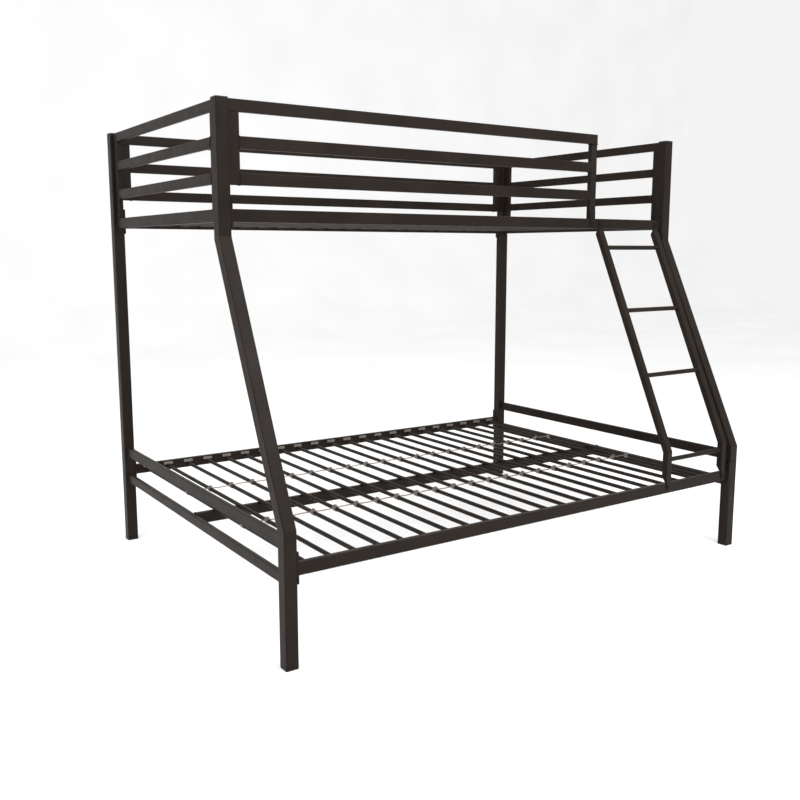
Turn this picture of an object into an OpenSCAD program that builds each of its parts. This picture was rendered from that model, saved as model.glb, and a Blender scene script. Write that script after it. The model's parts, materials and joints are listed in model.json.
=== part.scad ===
// Metal bunk bed: narrow upper bunk over a wide lower bunk, with a fixed sloping ladder.
// Units are millimetres. X runs along the length, -Y is the ladder side, Z is up.
// The origin is at floor level under the middle of the bed.

/* [Overall] */
// Overall length, outside of one end frame to outside of the other
bed_w = 1981; // [1900:1:2150]
// Overall depth at floor level
bed_d = 1435; // [1300:1:1600]
// Overall height to the top of the post caps
bed_h = 1600; // [1596:1:1800]

/* [Posts] */
// Side of the square post tube
post_w = 40; // [36:1:60]
// Wall thickness of the post tube
post_wall = 1.5; // [1:0.1:3]
// How far the upper front posts stand behind the lower ones
setback = 381; // [250:1:450]
// Height of the lower bend, on the front face
knee_low = 402; // [395:1:500]
// Height of the upper bend, on the front face
knee_high = 1200; // [1100:1:1230]

/* [Rails] */
// Height of the four long side rails and the deck end rails
side_h = 38; // [30:1:50]
// Height of the front and rear guard rails
guard_h = 36; // [25:1:40]
// Height of the end guard rails
end_h = 33; // [25:1:40]
// Thickness of the long rail tubes, front to back
rail_t = 20; // [15:1:25]
// Thickness of the end rail and end upright tubes
end_t = 15; // [12:1:25]
// Wall thickness of every rail tube
rail_wall = 1.2; // [0.8:0.1:2]
// Depth of the outer faces of the end rails behind the posts' outer faces
end_inset = 12; // [0:1:20]
// Depth of the outer faces of the long rails behind the posts' outer faces
side_inset = 10; // [0:1:20]

/* [Levels] */
// Underside of the lower side rails
low_side_z = 267; // [240:1:320]
// Underside of the lower of the two end rails
low_end_z = 240; // [220:1:300]
// Underside of the upper of the two end rails
high_end_z = 344; // [330:1:350]
// Underside of the upper deck side and end rails
deck_z = 1243; // [1234:1:1270]
// Top of the lowest guard rail
guard_low_top = 1387; // [1370:1:1400]
// Height step from one guard rail to the next
guard_pitch = 105; // [90:1:105]

/* [Guards] */
// Width of the uprights beside the posts in the front and rear guards
upright_w = 37; // [25:1:50]
// Width of the front guard upright beside the ladder opening
gate_w = 30; // [25:1:50]
// Width of the uprights of the end guards
end_upright_w = 37; // [20:1:50]
// Clear way between the front guard and the right post
ladder_gap = 382; // [360:1:460]

/* [Slats] */
// Number of slats in each bunk
slat_n = 22; // [12:1:26]
// Distance between slats
slat_pitch = 85.3; // [60:0.1:86]
// Diameter of the slat tube
slat_d = 14; // [10:1:18]
// Distance of each tie wire from the middle line
wire_y = 241; // [150:1:350]
// Diameter of the tie wire
wire_d = 4; // [2:0.5:5]

/* [Ladder] */
// Distance from the end of the front guard to the ladder
ladder_side = 17; // [5:1:40]
// Distance between the outer faces of the two stiles
ladder_w = 344; // [300:1:350]
// Width of a stile across the ladder
stile_w = 26; // [20:1:36]
// Depth of a stile, front to back
stile_d = 24; // [20:1:30]
// Diameter of a rung
rung_d = 17; // [14:1:22]
// Height of the top rung
rung_top_z = 1170; // [1140:1:1180]
// Height step between rungs
rung_pitch = 239; // [220:1:250]
// Height of the foot bar between the stiles
foot_bar_z = 392; // [380:1:400]

/* [Hidden] */
x_out = bed_w / 2;
y_out = bed_d / 2;
inner_x = x_out - post_w;
inner_y = y_out - post_w;
up_y = setback - y_out;
up_back_y = up_y + post_w;

cap_flange = 3;
cap_skirt = 12;
post_top = bed_h - cap_flange;
corner_r = 3;
rail_r = 2.5;
lean = atan(setback / (knee_high - knee_low));
lean_len = (knee_high - knee_low) / cos(lean);
big = 3000;

// Inner walls of the end rails, where the centre beam lands.
end_rail_x = x_out - end_inset - end_t;

// Joint plates on the ends of the side rails, with the lug that carries a bolt above and below.
plate_t = 5;
plate_up = 34;
plate_down = 20;

bolt_d = 8;
bolt_hole_d = 8.4;
bolt_head_d = 12;
bolt_head_h = 3.5;
bolt_grip = 7;
bore_depth = 20;

beam_top = low_side_z + 10;
slat_z = beam_top + slat_d / 2;
deck_slat_z = deck_z + 10 + slat_d / 2;
slat_x0 = -slat_pitch * (slat_n - 1) / 2;
deck_top = deck_z + side_h;
low_side_top = low_side_z + side_h;

guard_mid_top = guard_low_top + guard_pitch;
guard_high_top = guard_mid_top + guard_pitch;
gate_x = inner_x - ladder_gap;

// Inner and outer faces of the long rails.
rail_in = side_inset + rail_t;
low_front_y = side_inset - y_out;
up_front_y = up_y + side_inset;
rear_y = y_out - rail_in;

// Slat ends are held by moulded saddles on the inner faces of the side rails.
holder_w = 38;
holder_t = 4;
holder_low = 6;
holder_h = 11;
slat_clear = 0.15;

clip_d = slat_d + 4;
clip_w = 20;
clip_ear = 7;
clip_ear_t = 10;
wire_z = slat_z + 3;
wire_start = clip_d / 2 - 0.05;

// Ladder: tabs lie against the front faces of the side rails and grow out of the stiles' solid ends.
tab_t = 3;
tab_h = 28;
tab_root = 4;
tab_edge = 3.5;
tab_hole_z = 15;
stile_y = low_front_y - tab_t - 0.4;
stile_knee = knee_low + 22;
stile_lean = atan(setback / (deck_z - stile_knee));
stile_len = (deck_z - stile_knee) / cos(stile_lean);
stile_end = 7;
chamfer_top = 64;
chamfer_low = 53;
chamfer_back = 2;
ladder_right = gate_x + ladder_side + ladder_w;

steel = "#332e2a";
plastic = "#23211f";
zinc = "#a89f99";
blackened = "#262422";
holder_grey = "#8d847d";

// Rounded rectangle as points, lower left corner at the origin, each corner an arc of four steps.
function arc(cx, cy, r, a0) = [
    for (i = [0:4]) [cx + r * cos(a0 + 22.5 * i), cy + r * sin(a0 + 22.5 * i)]
];
function round_rect(w, h, r) = concat(
    arc(w - r, h - r, r, 0),
    arc(r, h - r, r, 90),
    arc(r, r, r, 180),
    arc(w - r, r, r, 270)
);

module section(w, h, r, wall) {
    difference() {
        polygon(round_rect(w, h, r));
        translate([wall, wall]) polygon(round_rect(w - 2 * wall, h - 2 * wall, r - wall * 0.8));
    }
}

// Square post tube standing on the origin.
module post_tube(length) {
    linear_extrude(length) section(post_w, post_w, corner_r, post_wall);
}

// Rail tube along X from x0 to x1; y and z give its lower front edge.
module rail_x(x0, x1, y, z, h) {
    translate([x0, y, z]) rotate([90, 0, 90]) linear_extrude(x1 - x0) section(rail_t, h, rail_r, rail_wall);
}

// End rail tube along Y from y0 to y1; x and z give its lower left edge.
module rail_y(y0, y1, x, z, h) {
    translate([x, y1, z]) rotate([90, 0, 0]) linear_extrude(y1 - y0) section(end_t, h, rail_r, rail_wall);
}

// Upright tube between z0 and z1; x and y give its left front edge.
module upright(x, y, z0, z1, w, d) {
    translate([x, y, z0]) linear_extrude(z1 - z0) section(w, d, rail_r, rail_wall);
}

// Everything below a plane through (y, z) that leans back at half the angle of the bend.
module below_mitre(y, z, bend) {
    translate([0, y, z]) rotate([-bend / 2, 0, 0]) translate([-1, -big / 2, -big]) cube([post_w + 2, big, big]);
}

module above_mitre(y, z, bend) {
    translate([0, y, z]) rotate([-bend / 2, 0, 0]) translate([-1, -big / 2, 0]) cube([post_w + 2, big, big]);
}

// Front post: a foot, a sloping middle and an upper length, mitred and welded into one tube.
module front_post() {
    intersection() {
        translate([0, -y_out, 0]) post_tube(knee_low + post_w);
        below_mitre(-y_out, knee_low, lean);
    }
    intersection() {
        translate([0, -y_out, knee_low])
            rotate([-lean, 0, 0])
                translate([0, 0, -post_w])
                    post_tube(lean_len + 2 * post_w);
        above_mitre(-y_out, knee_low, lean);
        below_mitre(up_y, knee_high, lean);
    }
    intersection() {
        translate([0, up_y, knee_high - post_w]) post_tube(post_top - knee_high + post_w);
        above_mitre(up_y, knee_high, lean);
    }
}

// Bolt hole along Z, long enough for one tube wall and the plate on it.
module bolt_bore() {
    cylinder(d = bolt_hole_d, h = bore_depth, center = true, $fn = 48);
}

// Bores along X at every place where a bolt goes into a post.
module plate_bores(y, z) {
    for (dz = [-plate_down / 2, side_h + plate_up / 2]) {
        translate([0, y, z + dz]) rotate([0, 90, 0]) bolt_bore();
    }
}

module left_rear_post() {
    difference() {
        translate([-x_out, inner_y, 0]) post_tube(post_top);
        translate([-inner_x, 0, 0]) {
            plate_bores(y_out - post_w / 2, low_side_z);
            plate_bores(y_out - post_w / 2, deck_z);
        }
    }
}

module left_front_post() {
    difference() {
        translate([-x_out, 0, 0]) front_post();
        translate([-inner_x, 0, 0]) {
            plate_bores(post_w / 2 - y_out, low_side_z);
            plate_bores(up_y + post_w / 2, deck_z);
        }
    }
}

// Lower end rails run between the posts of one end.
module left_end_rail(z, h) {
    rail_y(post_w - y_out, inner_y, end_inset - x_out, z, h);
}

module left_deck_rail() {
    rail_y(up_back_y, inner_y, end_inset - x_out, deck_z, side_h);
}

// End guard: the top rail runs from post to post, the others between the uprights.
module left_end_guard_top() {
    rail_y(up_back_y, inner_y, end_inset - x_out, guard_high_top - end_h, end_h);
}

module left_end_guard_rail(top) {
    rail_y(up_back_y + end_upright_w, inner_y - end_upright_w, end_inset - x_out, top - end_h, end_h);
}

// The uprights stand on the deck end rail, against the posts.
module left_end_uprights() {
    for (y = [up_back_y, inner_y - end_upright_w]) {
        upright(end_inset - x_out, y, deck_top, guard_high_top - end_h, end_t, end_upright_w);
    }
}

// Long guard rail between two X positions, with its front face at y.
module long_guard(x0, x1, y, top) {
    rail_x(x0, x1, y, top - guard_h, guard_h);
}

module guard_upright(x, y, w) {
    upright(x, y, guard_low_top - guard_h, guard_high_top - guard_h, w, rail_t);
}

// Side rail between the joint plates.
module side_rail(y, z) {
    rail_x(plate_t - inner_x, inner_x - plate_t, y, z, side_h);
}

// Bore through the front wall of a side rail where a ladder or guard tab is bolted on.
module tab_bore(x, y, z) {
    translate([x, y, z]) rotate([90, 0, 0]) bolt_bore();
}

module left_plate(y, z) {
    difference() {
        translate([-inner_x, y, z - plate_down]) cube([plate_t, post_w, plate_down + side_h + plate_up]);
        translate([-inner_x, 0, 0]) plate_bores(y + post_w / 2, z);
    }
}

module left_plates() {
    left_plate(-y_out, low_side_z);
    left_plate(inner_y, low_side_z);
    left_plate(up_y, deck_z);
    left_plate(inner_y, deck_z);
}

// Bolt with a low domed head; it points along +Z from the underside of its head.
module bolt() {
    translate([0, 0, -bolt_head_h]) cylinder(d1 = bolt_head_d - 4, d2 = bolt_head_d, h = bolt_head_h, $fn = 32);
    cylinder(d = bolt_d, h = bolt_grip, $fn = 32);
}

module left_bolt_pair(y, z) {
    for (dz = [-plate_down / 2, side_h + plate_up / 2]) {
        translate([plate_t - inner_x, y, z + dz]) rotate([0, -90, 0]) bolt();
    }
}

module left_bolts() {
    left_bolt_pair(post_w / 2 - y_out, low_side_z);
    left_bolt_pair(y_out - post_w / 2, low_side_z);
    left_bolt_pair(up_y + post_w / 2, deck_z);
    left_bolt_pair(y_out - post_w / 2, deck_z);
}

module slat_row(y0, y1, z) {
    for (i = [0:slat_n - 1]) {
        translate([slat_x0 + i * slat_pitch, y0, z]) rotate([-90, 0, 0]) difference() {
            cylinder(d = slat_d, h = y1 - y0, $fn = 32);
            translate([0, 0, -1]) cylinder(d = slat_d - 2 * rail_wall, h = y1 - y0 + 2, $fn = 32);
        }
    }
}

// Saddles that hold one end of every slat, against the rail face at y.
module holder_row(y, z) {
    for (i = [0:slat_n - 1]) {
        translate([slat_x0 + i * slat_pitch, y, z]) difference() {
            translate([-holder_w / 2, 0, holder_low]) cube([holder_w, holder_t, holder_h]);
            rotate([90, 0, 0]) cylinder(d = slat_d + 2 * slat_clear, h = 4 * holder_t, center = true, $fn = 32);
        }
    }
}

// Clip round a slat, with an ear standing above it that takes the tie wire.
module slat_clip() {
    difference() {
        union() {
            rotate([90, 0, 0]) cylinder(d = clip_d, h = clip_w, center = true, $fn = 32);
            translate([-clip_ear_t / 2, -clip_w / 2, 0]) cube([clip_ear_t, clip_w, clip_d / 2 + clip_ear - 3]);
        }
        rotate([90, 0, 0]) cylinder(d = slat_d + 2 * slat_clear, h = 2 * clip_w, center = true, $fn = 32);
    }
}

module rung(x0, x1, y, z) {
    translate([x0, y, z]) rotate([0, 90, 0]) difference() {
        cylinder(d = rung_d, h = x1 - x0, $fn = 48);
        translate([0, 0, -1]) cylinder(d = rung_d - 2 * rail_wall, h = x1 - x0 + 2, $fn = 48);
    }
}

// Length of a stile's outside, or of its hollow when wall is the thickness of the tube wall.
module stile_length(length, wall) {
    translate([wall, wall, 0])
        linear_extrude(length)
            polygon(round_rect(stile_w - 2 * wall, stile_d - 2 * wall, rail_r - wall * 0.8));
}

// Outside or hollow of a bent stile between the levels z0 and z1.
module stile_form(x, wall, z0, z1) {
    intersection() {
        translate([x, stile_y, z0]) stile_length(stile_knee - z0 + stile_d, wall);
        translate([x, 0, 0]) below_mitre(stile_y, stile_knee, stile_lean);
    }
    intersection() {
        translate([x, stile_y, stile_knee])
            rotate([-stile_lean, 0, 0])
                translate([0, 0, -stile_d])
                    stile_length(stile_len + 3 * stile_d, wall);
        translate([x, 0, 0]) above_mitre(stile_y, stile_knee, stile_lean);
        translate([x - 1, stile_y - 1, 0]) cube([stile_w + 2, big, z1]);
    }
}

// Bevels that clear the back of a stile's ends from the side rails.
module stile_chamfers(x) {
    translate([x - 1, low_front_y + chamfer_back, low_side_top])
        rotate([chamfer_low, 0, 0])
            translate([0, 0, -big])
                cube([stile_w + 2, 3 * stile_d, big]);
    translate([x - 1, up_front_y + chamfer_back, deck_z])
        rotate([-chamfer_top, 0, 0])
            cube([stile_w + 2, 3 * stile_d, big]);
}

// Ladder stile from the top of the lower side rail to the underside of the deck rail.
module stile(x) {
    difference() {
        union() {
            difference() {
                stile_form(x, 0, low_side_top, deck_z);
                stile_chamfers(x);
            }
            translate([x + tab_edge, low_front_y - tab_t, low_side_top - tab_h])
                cube([stile_w - 2 * tab_edge, tab_t, tab_h + tab_root]);
            translate([x + tab_edge, up_front_y - tab_t, deck_z - tab_root])
                cube([stile_w - 2 * tab_edge, tab_t, tab_root + tab_h]);
        }
        stile_form(x, rail_wall, low_side_top + stile_end, deck_z - stile_end);
        tab_bore(x + stile_w / 2, low_front_y, low_side_top - tab_hole_z);
        tab_bore(x + stile_w / 2, up_front_y, deck_z + tab_hole_z);
    }
}

module rear_left_post() { color(steel) left_rear_post(); }
module rear_right_post() { color(steel) mirror([1, 0, 0]) left_rear_post(); }
module front_left_post() { color(steel) left_front_post(); }
module front_right_post() { color(steel) mirror([1, 0, 0]) left_front_post(); }

module left_low_end_rail() { color(steel) left_end_rail(low_end_z, end_h); }
module left_high_end_rail() { color(steel) left_end_rail(high_end_z, side_h); }
module right_low_end_rail() { color(steel) mirror([1, 0, 0]) left_end_rail(low_end_z, end_h); }
module right_high_end_rail() { color(steel) mirror([1, 0, 0]) left_end_rail(high_end_z, side_h); }
module left_deck_end_rail() { color(steel) left_deck_rail(); }
module right_deck_end_rail() { color(steel) mirror([1, 0, 0]) left_deck_rail(); }

module left_guard_rail_low() { color(steel) left_end_guard_rail(guard_low_top); }
module left_guard_rail_mid() { color(steel) left_end_guard_rail(guard_mid_top); }
module left_guard_rail_top() { color(steel) left_end_guard_top(); }
module left_guard_uprights() { color(steel) left_end_uprights(); }
module right_guard_rail_low() { color(steel) mirror([1, 0, 0]) left_end_guard_rail(guard_low_top); }
module right_guard_rail_mid() { color(steel) mirror([1, 0, 0]) left_end_guard_rail(guard_mid_top); }
module right_guard_rail_top() { color(steel) mirror([1, 0, 0]) left_end_guard_top(); }
module right_guard_uprights() { color(steel) mirror([1, 0, 0]) left_end_uprights(); }

module front_guard_rail_low() {
    color(steel) long_guard(upright_w - inner_x, gate_x - gate_w, up_front_y, guard_low_top);
}
module front_guard_rail_mid() {
    color(steel) long_guard(upright_w - inner_x, gate_x - gate_w, up_front_y, guard_mid_top);
}
module front_guard_rail_top() {
    color(steel) long_guard(-inner_x, gate_x, up_front_y, guard_high_top);
}
module front_guard_left_upright() { color(steel) guard_upright(-inner_x, up_front_y, upright_w); }

// The gate upright stands on the deck rail, with a tab over the rail's front face.
module front_guard_right_upright() {
    color(steel) difference() {
        union() {
            upright(gate_x - gate_w, up_front_y, deck_top, guard_high_top - guard_h, gate_w, rail_t);
            translate([gate_x - gate_w + tab_edge, up_front_y - tab_t, deck_top - tab_h])
                cube([gate_w - 2 * tab_edge, tab_t, 2 * tab_h]);
        }
        tab_bore(gate_x - gate_w / 2, up_front_y, deck_top - tab_hole_z);
    }
}

module rear_guard_rail_low() {
    color(steel) long_guard(upright_w - inner_x, inner_x - upright_w, rear_y, guard_low_top);
}
module rear_guard_rail_mid() {
    color(steel) long_guard(upright_w - inner_x, inner_x - upright_w, rear_y, guard_mid_top);
}
module rear_guard_rail_top() { color(steel) long_guard(-inner_x, inner_x, rear_y, guard_high_top); }
module rear_guard_left_upright() { color(steel) guard_upright(-inner_x, rear_y, upright_w); }
module rear_guard_right_upright() { color(steel) guard_upright(inner_x - upright_w, rear_y, upright_w); }

module front_deck_rail() {
    color(steel) difference() {
        side_rail(up_front_y, deck_z);
        tab_bore(ladder_right - stile_w / 2, up_front_y, deck_z + tab_hole_z);
        tab_bore(ladder_right - ladder_w + stile_w / 2, up_front_y, deck_z + tab_hole_z);
        tab_bore(gate_x - gate_w / 2, up_front_y, deck_top - tab_hole_z);
    }
}
module rear_deck_rail() { color(steel) side_rail(rear_y, deck_z); }
module front_side_rail() {
    color(steel) difference() {
        side_rail(low_front_y, low_side_z);
        tab_bore(ladder_right - stile_w / 2, low_front_y, low_side_top - tab_hole_z);
        tab_bore(ladder_right - ladder_w + stile_w / 2, low_front_y, low_side_top - tab_hole_z);
    }
}
module rear_side_rail() { color(steel) side_rail(rear_y, low_side_z); }

module joint_plates() {
    color(steel) left_plates();
    color(steel) mirror([1, 0, 0]) left_plates();
}
module joint_bolts() {
    color(blackened) left_bolts();
    color(blackened) mirror([1, 0, 0]) left_bolts();
}

module centre_beam() { color(steel) rail_x(-end_rail_x, end_rail_x, -rail_t / 2, beam_top - side_h, side_h); }
module lower_slats() { color(steel) slat_row(low_front_y + rail_t, rear_y, slat_z); }
module upper_slats() { color(steel) slat_row(up_front_y + rail_t, rear_y, deck_slat_z); }
module slat_holders() {
    color(holder_grey) holder_row(low_front_y + rail_t, slat_z);
    color(holder_grey) holder_row(rear_y - holder_t, slat_z);
    color(holder_grey) holder_row(up_front_y + rail_t, deck_slat_z);
    color(holder_grey) holder_row(rear_y - holder_t, deck_slat_z);
}
module tie_wires() {
    color(zinc) for (y = [-wire_y, wire_y], i = [0:slat_n - 2]) {
        translate([slat_x0 + i * slat_pitch + wire_start, y, wire_z])
            rotate([0, 90, 0])
                cylinder(d = wire_d, h = slat_pitch - 2 * wire_start, $fn = 16);
    }
}
module slat_clips() {
    color(zinc) for (y = [-wire_y, wire_y], i = [0:slat_n - 1]) {
        translate([slat_x0 + i * slat_pitch, y, slat_z]) slat_clip();
    }
}

module ladder_left_stile() { color(steel) stile(ladder_right - ladder_w); }
module ladder_right_stile() { color(steel) stile(ladder_right - stile_w); }

// Rung between the stiles at height z, centred in their depth.
module sloping_rung(z) {
    rung(
        ladder_right - ladder_w + stile_w,
        ladder_right - stile_w,
        stile_y + (z - stile_knee) * tan(stile_lean) + stile_d / 2 / cos(stile_lean),
        z
    );
}
module ladder_rung_low() { color(steel) sloping_rung(rung_top_z - 2 * rung_pitch); }
module ladder_rung_mid() { color(steel) sloping_rung(rung_top_z - rung_pitch); }
module ladder_rung_top() { color(steel) sloping_rung(rung_top_z); }
module ladder_foot_bar() {
    color(steel) rung(
        ladder_right - ladder_w + stile_w,
        ladder_right - stile_w,
        stile_y + stile_d / 2,
        foot_bar_z
    );
}
module ladder_bolts() {
    color(blackened) {
        for (x = [ladder_right - ladder_w + stile_w / 2, ladder_right - stile_w / 2]) {
            translate([x, low_front_y - tab_t, low_side_top - tab_hole_z]) rotate([-90, 0, 0]) bolt();
            translate([x, up_front_y - tab_t, deck_z + tab_hole_z]) rotate([-90, 0, 0]) bolt();
        }
        translate([gate_x - gate_w / 2, up_front_y - tab_t, deck_top - tab_hole_z]) rotate([-90, 0, 0]) bolt();
    }
}

// Moulded cap: a flange over the tube end and a plug inside it.
module cap(x, y) {
    plug = post_w - 2 * post_wall - 0.6;
    translate([x, y, post_top]) linear_extrude(cap_flange) polygon(round_rect(post_w, post_w, corner_r));
    translate([x + (post_w - plug) / 2, y + (post_w - plug) / 2, post_top - cap_skirt])
        linear_extrude(cap_skirt) polygon(round_rect(plug, plug, corner_r / 2));
}
module post_caps() {
    color(plastic) for (x = [-x_out, inner_x], y = [up_y, inner_y]) cap(x, y);
}

rear_left_post();
rear_right_post();
front_left_post();
front_right_post();
left_low_end_rail();
left_high_end_rail();
right_low_end_rail();
right_high_end_rail();
left_deck_end_rail();
right_deck_end_rail();
left_guard_rail_low();
left_guard_rail_mid();
left_guard_rail_top();
left_guard_uprights();
right_guard_rail_low();
right_guard_rail_mid();
right_guard_rail_top();
right_guard_uprights();
front_guard_rail_low();
front_guard_rail_mid();
front_guard_rail_top();
front_guard_left_upright();
front_guard_right_upright();
rear_guard_rail_low();
rear_guard_rail_mid();
rear_guard_rail_top();
rear_guard_left_upright();
rear_guard_right_upright();
front_deck_rail();
rear_deck_rail();
front_side_rail();
rear_side_rail();
joint_plates();
joint_bolts();
centre_beam();
lower_slats();
upper_slats();
slat_holders();
tie_wires();
slat_clips();
ladder_left_stile();
ladder_right_stile();
ladder_rung_low();
ladder_rung_mid();
ladder_rung_top();
ladder_foot_bar();
ladder_bolts();
post_caps();
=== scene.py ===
"""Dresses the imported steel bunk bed: coated tubes, weld beads, bolts, clips, wires and caps.

The CAD tubes keep their meshes and get materials. Small fittings are rebuilt here as finer
surfaces that stand for their CAD nodes, and weld beads are added where tubes meet.
"""

import json
import logging
import math
from dataclasses import dataclass
from enum import Enum

import bpy
import numpy as np
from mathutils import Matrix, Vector


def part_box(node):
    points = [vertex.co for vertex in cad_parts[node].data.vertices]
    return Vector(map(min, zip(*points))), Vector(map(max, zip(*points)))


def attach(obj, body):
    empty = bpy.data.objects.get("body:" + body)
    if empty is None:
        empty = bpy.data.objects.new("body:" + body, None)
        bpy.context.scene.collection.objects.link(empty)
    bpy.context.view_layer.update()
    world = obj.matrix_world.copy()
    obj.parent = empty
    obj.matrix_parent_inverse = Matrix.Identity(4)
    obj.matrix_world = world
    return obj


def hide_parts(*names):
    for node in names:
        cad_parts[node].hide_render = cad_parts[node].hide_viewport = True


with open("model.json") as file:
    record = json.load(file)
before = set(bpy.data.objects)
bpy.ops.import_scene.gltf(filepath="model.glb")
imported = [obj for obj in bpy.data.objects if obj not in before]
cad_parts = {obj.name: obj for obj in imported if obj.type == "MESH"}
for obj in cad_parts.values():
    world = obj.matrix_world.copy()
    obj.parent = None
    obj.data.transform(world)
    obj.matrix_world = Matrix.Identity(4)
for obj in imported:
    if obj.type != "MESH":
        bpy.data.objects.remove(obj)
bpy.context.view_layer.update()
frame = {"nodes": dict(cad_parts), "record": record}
LOG = logging.getLogger("bunk_bed")
MM = 0.001

# Faces that meet at more than this show a crisp edge; below it they are shaded as one curve.
SHARP_ANGLE = math.radians(38)

# Socket numbers of the Mix node in colour mode, whose names are shared by all its modes.
MIX_FACTOR, MIX_FIRST, MIX_SECOND, MIX_RESULT = 0, 6, 7, 2

END_RAILS = (
    "low_end_rail",
    "high_end_rail",
    "deck_end_rail",
    "guard_rail_low",
    "guard_rail_mid",
    "guard_rail_top",
)
BEDDED_RAILS = (
    "front_deck_rail",
    "rear_deck_rail",
    "front_side_rail",
    "rear_side_rail",
    "centre_beam",
)
RUNGS = ("ladder_rung_low", "ladder_rung_mid", "ladder_rung_top", "ladder_foot_bar")


class Axis(Enum):
    """Row axis a tube runs along."""

    X = 0
    Y = 1
    Z = 2


class End(Enum):
    """End of a tube that a bead closes; the value is its index in the tube's box."""

    LOW = 0
    HIGH = 1


def linear_colour(hex_text: str) -> tuple[float, float, float, float]:
    """Converts an sRGB hex colour to the linear RGBA the shaders take.

    Args:
        hex_text: Six hex digits, with or without a leading #.

    Returns:
        Linear red, green, blue and an alpha of one.
    """
    digits = hex_text.lstrip("#")
    srgb = np.array([int(digits[i : i + 2], 16) / 255 for i in (0, 2, 4)])
    linear = np.where(srgb <= 0.04045, srgb / 12.92, ((srgb + 0.055) / 1.055) ** 2.4)
    return (*(float(c) for c in linear), 1.0)


def cells_per_metre(size_mm: float) -> float:
    """Returns the texture scale whose cells are size_mm across in object coordinates."""
    return 1.0 / (size_mm * MM)


class Shader:
    """A material under construction: its node tree and its one Principled shader."""

    def __init__(self, name: str) -> None:
        """Makes an empty material with a Principled shader and its output.

        Args:
            name: Name of the material, which says what it is and how its surface was made.
        """
        self.material = bpy.data.materials.new(name)
        self.material.use_nodes = True
        self.tree = self.material.node_tree
        self.tree.nodes.clear()
        self.surface = self.add("ShaderNodeBsdfPrincipled")
        out = self.add("ShaderNodeOutputMaterial")
        self.tree.links.new(self.surface.outputs["BSDF"], out.inputs["Surface"])
        coords = self.add("ShaderNodeTexCoord")
        self.place = coords.outputs["Object"]

    def add(self, kind: str, values: dict | None = None, **settings) -> bpy.types.Node:
        """Adds a node.

        Args:
            kind: Blender's name of the node type.
            values: Input name to a socket to link from, or to a plain value.
            **settings: Properties of the node itself.

        Returns:
            The new node.
        """
        node = self.tree.nodes.new(kind)
        for key, value in settings.items():
            setattr(node, key, value)
        for key, value in (values or {}).items():
            self.feed(node, key, value)
        return node

    def feed(self, node: bpy.types.Node, key: str | int, value: object) -> None:
        """Links a socket into an input, or sets the input's own value.

        Args:
            node: Node whose input is set.
            key: Name or number of the input.
            value: A socket to link from, or a plain value.
        """
        if isinstance(value, bpy.types.NodeSocket):
            self.tree.links.new(value, node.inputs[key])
        else:
            node.inputs[key].default_value = value


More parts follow.
